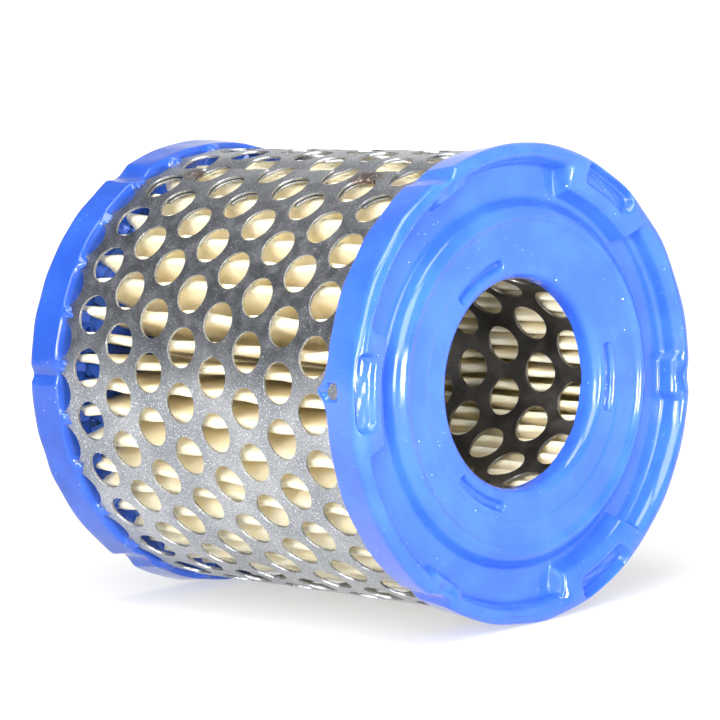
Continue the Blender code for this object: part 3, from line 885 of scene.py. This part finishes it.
def make_floor():
    """A white sweep that glows more farther out, so that it stays white away from the lights."""
    bm = bmesh.new()
    bmesh.ops.create_circle(bm, cap_ends=True, radius=30, segments=64)
    mesh = bpy.data.meshes.new("floor")
    bm.to_mesh(mesh)
    bm.free()
    floor = bpy.data.objects.new("floor", mesh)
    bpy.context.collection.objects.link(floor)
    n = Nodes("floor_white")
    n.set(Base_Color=(0.4, 0.4, 0.4, 1), Roughness=0.7, Emission_Strength=1.0)
    away = n.add("ShaderNodeVectorMath")
    away.operation = "LENGTH"
    n.link(n.place, away.inputs[0])
    glow = n.remap(away.outputs["Value"], 0.09, 0.4)
    n.link(n.mix(glow, (0.5, 0.5, 0.5), (0.97, 0.97, 0.97)), n.shader.inputs["Emission Color"])
    mesh.materials.append(n.material)


def make_world():
    """A studio that is white behind the cartridge and dim on the camera's side."""
    world = bpy.data.worlds.new("studio")
    world.use_nodes = True
    bpy.context.scene.world = world
    tree = world.node_tree
    place = tree.nodes.new("ShaderNodeTexCoord")
    split = tree.nodes.new("ShaderNodeSeparateXYZ")
    ramp = tree.nodes.new("ShaderNodeValToRGB")
    ramp.color_ramp.elements[0].position = 0.30
    ramp.color_ramp.elements[0].color = (0.10, 0.105, 0.12, 1)
    ramp.color_ramp.elements[1].position = 0.85
    ramp.color_ramp.elements[1].color = (1.0, 1.0, 1.0, 1)
    middle = ramp.color_ramp.elements.new(0.6)
    middle.color = (0.22, 0.22, 0.23, 1)
    half = tree.nodes.new("ShaderNodeMapRange")
    half.inputs["From Min"].default_value = -1
    tree.links.new(place.outputs["Generated"], split.inputs["Vector"])
    tree.links.new(split.outputs["Y"], half.inputs["Value"])
    tree.links.new(half.outputs["Result"], ramp.inputs["Fac"])
    # A white wall low down behind the rear cap
    wall = tree.nodes.new("ShaderNodeMath")
    wall.operation = "MULTIPLY"
    for socket, axis, start, end in ((0, "X", -0.8, -0.95), (1, "Z", 0.45, 0.15)):
        share = tree.nodes.new("ShaderNodeMapRange")
        share.inputs["From Min"].default_value = start
        share.inputs["From Max"].default_value = end
        tree.links.new(split.outputs[axis], share.inputs["Value"])
        tree.links.new(share.outputs["Result"], wall.inputs[socket])
    both = tree.nodes.new("ShaderNodeMixRGB")
    both.inputs["Color2"].default_value = (1, 1, 1, 1)
    tree.links.new(wall.outputs["Value"], both.inputs["Fac"])
    tree.links.new(ramp.outputs["Color"], both.inputs["Color1"])
    background = tree.nodes["Background"]
    tree.links.new(both.outputs["Color"], background.inputs["Color"])
    background.inputs["Strength"].default_value = 1.0


def direction(azimuth, elevation):
    """Unit vector for angles in degrees; azimuth 0 is on the -Y side and 90 on the +X side."""
    a = math.radians(azimuth)
    e = math.radians(elevation)
    return Vector((math.sin(a) * math.cos(e), -math.cos(a) * math.cos(e), math.sin(e)))


def add_softbox(name, azimuth, elevation, distance, width, height, power):
    """An area light that faces the cartridge; its sizes and its distance are in metres."""
    light = bpy.data.lights.new(name, "AREA")
    light.shape = "RECTANGLE"
    light.size = width
    light.size_y = height
    light.energy = power
    obj = bpy.data.objects.new(name, light)
    away = direction(azimuth, elevation)
    obj.location = Vector((0, 0, AXIS_HEIGHT)) + away * distance
    obj.rotation_mode = "QUATERNION"
    obj.rotation_quaternion = (-away).to_track_quat("-Z", "Y")
    bpy.context.collection.objects.link(obj)


def make_lights():
    add_softbox("overhead_softbox", 20, 70, 1.1, 0.8, 0.6, 13)
    add_softbox("right_strip", 74, 3, 1.0, 0.16, 0.2, 9)
    add_softbox("front_fill", 48, 30, 0.6, 0.35, 0.35, 3.2)
    add_softbox("pleat_light", 28, 10, 1.2, 0.45, 0.4, 12)


def make_camera():
    """The photograph's viewing angle: long lens, a little above the axis, slightly tilted."""
    roll = math.radians(-3.17)
    distance = 846.7 * MM
    target = Vector((0, 0.6 * MM, AXIS_HEIGHT + 2.66 * MM))
    back = direction(47.03, 6.84)
    camera = bpy.data.cameras.new("camera")
    camera.lens = 181.8
    camera.sensor_width = 36
    camera.clip_start = 0.05
    camera.clip_end = 100
    obj = bpy.data.objects.new("camera", camera)
    obj.location = target + back * distance
    right = Vector((0, 0, 1)).cross(back).normalized()
    up = back.cross(right)
    rolled_right = right * math.cos(roll) + up * math.sin(roll)
    rolled_up = back.cross(rolled_right)
    obj.matrix_world = matrix_from_axes(rolled_right, rolled_up, back, obj.location)
    bpy.context.collection.objects.link(obj)
    bpy.context.scene.camera = obj


def matrix_from_axes(x_axis, y_axis, z_axis, origin):
    rows = [(x_axis[i], y_axis[i], z_axis[i], origin[i]) for i in range(3)]
    return Matrix([*rows, (0, 0, 0, 1)])


def main():
    bpy.context.scene.view_settings.view_transform = "Standard"
    make_camera()
    make_world()
    make_lights()
    make_floor()
    make_front_cap(blue_polyurethane("front_blue", (0.028, 0.10, 0.60), (0.038, 0.13, 0.72)))
    # The rear cap gets a darker copy of the same blue: painted shade for the weaker light that reaches it,
    # farther from the lamps than the front cap
    make_rear_cap(blue_polyurethane("rear_blue_painted_shade", (0.018, 0.068, 0.36), (0.026, 0.092, 0.45)))
    make_cage(galvanised_sheet())
    make_tube(tube_steel())
    make_paper(filter_paper())
    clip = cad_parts["pleat_seam_clip"]
    clip.material_slots[0].material = clip_steel()


main()
